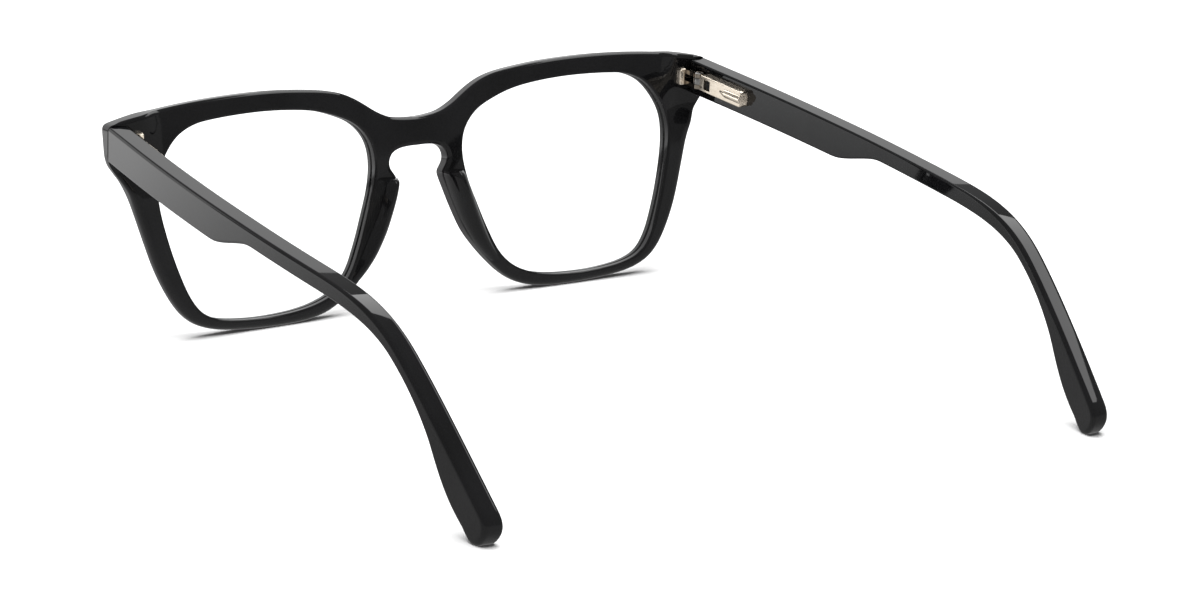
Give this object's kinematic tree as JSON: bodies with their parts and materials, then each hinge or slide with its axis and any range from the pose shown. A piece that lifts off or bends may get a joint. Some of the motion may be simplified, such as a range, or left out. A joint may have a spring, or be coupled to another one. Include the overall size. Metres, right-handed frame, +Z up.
{
  "type": "eyeglasses",
  "caption": "Eyeglasses with a glossy black acetate keyhole front, clear lenses and two temples that fold on sprung metal hinges.",
  "frame": {"origin": "on the table, under the middle of the frame, which stands open on its rims and temple tips", "axes": "+Z up, -Y the way the wearer looks, +X the wearer's left"},
  "size_m": [0.1402, 0.1492, 0.0467],
  "materials": {
    "acetate": "polished",
    "clear_lens": "clear",
    "pale_gold": "polished, champagne gold plating",
    "steel": "fine turned"
  },
  "bodies": {
    "front": {"front": "acetate", "lens_left": "clear_lens", "lens_right": "clear_lens", "nose_pad_left": "acetate", "nose_pad_right": "acetate", "hinge_leaf_left": "pale_gold", "hinge_leaf_right": "pale_gold", "hinge_screw_left": "steel", "hinge_screw_right": "steel"},
    "slider_left": {"slider_left": "steel", "stop_nut_left": "steel"},
    "temple_left": {"temple_left": "acetate", "spring_housing_left": "pale_gold", "core_wire_left": "steel", "spring_left": "steel"},
    "slider_right": {"slider_right": "steel", "stop_nut_right": "steel"},
    "temple_right": {"temple_right": "acetate", "spring_housing_right": "pale_gold", "core_wire_right": "steel", "spring_right": "steel"}
  },
  "joints": [
    {"name": "fold_left", "type": "hinge", "parent": "front", "child": "slider_left", "pos_m": [0.06339, -0.06441, 0.0401], "axis": [0, 0.0779, 0.997], "range_deg": [0, 90]},
    {"name": "pull_left", "type": "slide", "parent": "slider_left", "child": "temple_left", "axis": [0.0645, 0.9949, -0.0778], "range_m": [0, 0.001], "stiffness_N_per_m": 3000, "springref_m": -0.001, "deforming": ["spring_left"]},
    {"name": "fold_right", "type": "hinge", "parent": "front", "child": "slider_right", "pos_m": [-0.06339, -0.06441, 0.0401], "axis": [0, -0.0779, -0.997], "range_deg": [0, 74]},
    {"name": "pull_right", "type": "slide", "parent": "slider_right", "child": "temple_right", "axis": [-0.0645, 0.9949, -0.0778], "range_m": [0, 0.001], "stiffness_N_per_m": 3000, "springref_m": -0.001, "deforming": ["spring_right"]}
  ]
}
